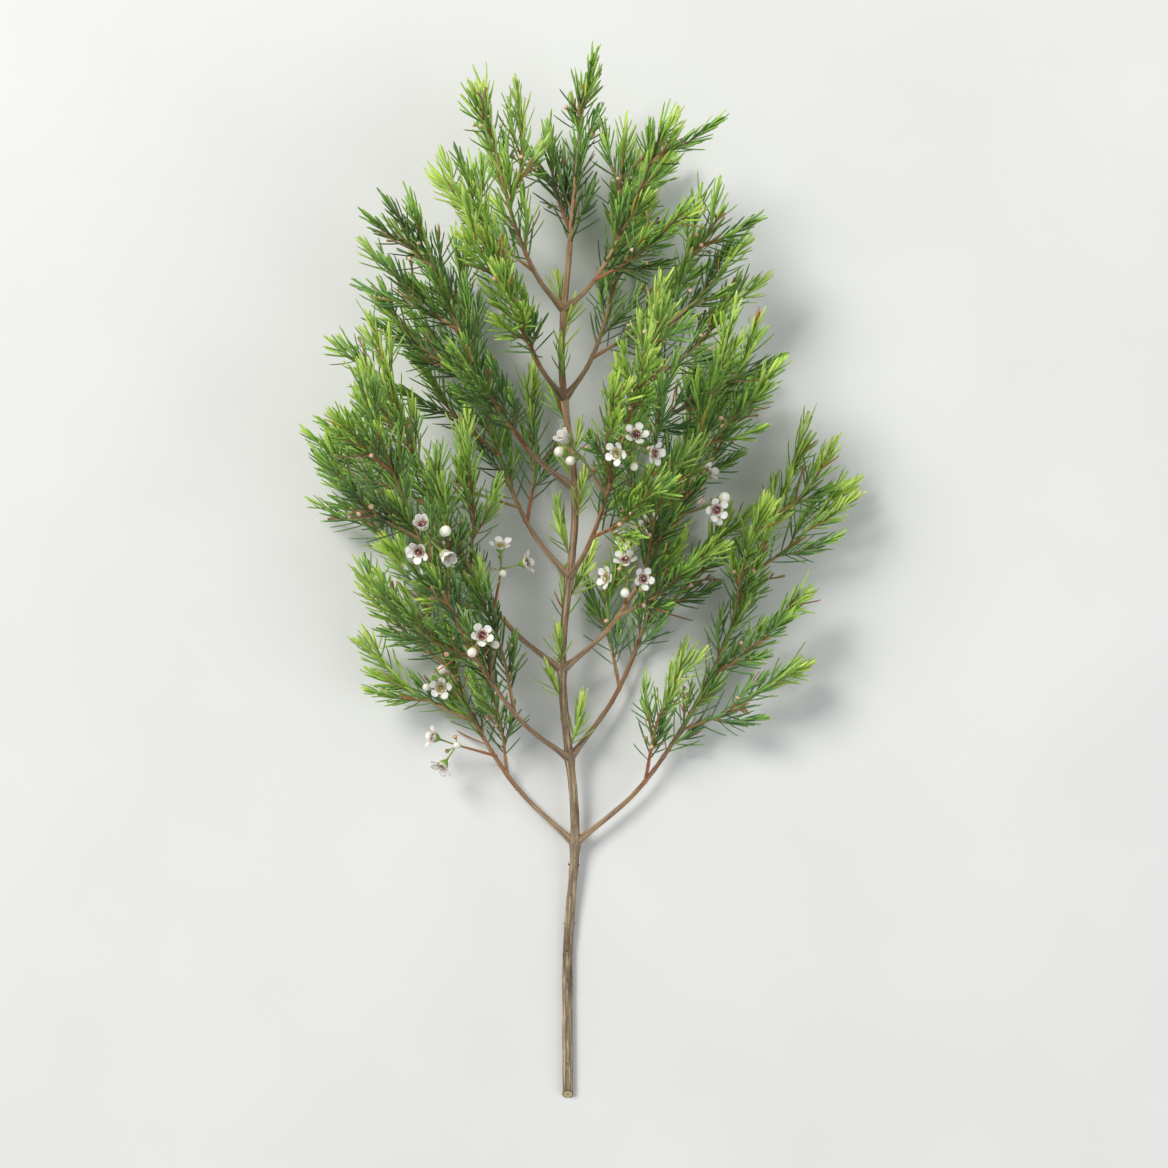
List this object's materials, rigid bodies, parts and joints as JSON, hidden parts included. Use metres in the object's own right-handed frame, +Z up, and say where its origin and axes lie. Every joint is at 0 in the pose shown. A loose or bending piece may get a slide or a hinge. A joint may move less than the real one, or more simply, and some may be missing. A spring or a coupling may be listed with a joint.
{
  "type": "waxflower stem",
  "caption": "Cut flowering branch lying flat: a woody stem with leafy sprays of fine needle leaves in opposite pairs, and small white five-petalled flowers and round buds on thin stalks",
  "frame": {"origin": "on the table under the middle of the laid stem's footprint", "axes": "+Y runs from the cut end to the tip, +Z is up from the table, +X is to the right of the stem as it is seen from above with its tip up"},
  "size_m": [0.2937, 0.5586, 0.1526],
  "materials": {
    "bark": "dry fibrous bark",
    "leaf": "waxy leaf",
    "petal": "waxy petal",
    "nectar_disc_red": "wet sheen",
    "nectar_disc_olive": "wet sheen"
  },
  "bodies": {
    "root": {"woody_stem": "bark", "spray_01": "leaf", "spray_02": "leaf", "spray_03": "leaf", "spray_04": "leaf", "spray_05": "leaf", "spray_06": "leaf", "spray_07": "leaf", "spray_08": "leaf", "spray_09": "leaf", "spray_10": "leaf", "spray_11": "leaf", "spray_12": "leaf", "spray_13": "leaf", "spray_14": "leaf", "spray_15": "leaf", "flower_head_01": "petal", "flower_head_02": "petal", "flower_head_03": "petal", "flower_head_04": "petal", "flower_head_05": "petal", "flower_head_06": "petal", "flower_head_07": "petal", "flower_head_08": "petal", "flower_head_09": "petal", "flower_head_10": "petal", "flower_head_11": "petal", "flower_head_12": "petal", "flower_head_13": "petal", "flower_head_14": "petal", "nectar_disc_01": "nectar_disc_red", "nectar_disc_02": "nectar_disc_red", "nectar_disc_03": "nectar_disc_olive", "nectar_disc_04": "nectar_disc_red", "nectar_disc_05": "nectar_disc_red", "nectar_disc_06": "nectar_disc_olive", "nectar_disc_07": "nectar_disc_red", "nectar_disc_08": "nectar_disc_red", "nectar_disc_09": "nectar_disc_olive", "nectar_disc_10": "nectar_disc_red", "nectar_disc_11": "nectar_disc_red", "nectar_disc_12": "nectar_disc_olive", "nectar_disc_13": "nectar_disc_red", "nectar_disc_14": "nectar_disc_red", "nectar_disc_15": "nectar_disc_olive", "nectar_disc_16": "nectar_disc_red", "nectar_disc_17": "nectar_disc_red", "nectar_disc_18": "nectar_disc_olive", "nectar_disc_19": "nectar_disc_red", "nectar_disc_20": "nectar_disc_red", "nectar_disc_21": "nectar_disc_olive", "nectar_disc_22": "nectar_disc_red", "nectar_disc_23": "nectar_disc_red", "nectar_disc_24": "nectar_disc_olive", "nectar_disc_25": "nectar_disc_red"}
  },
  "joints": []
}
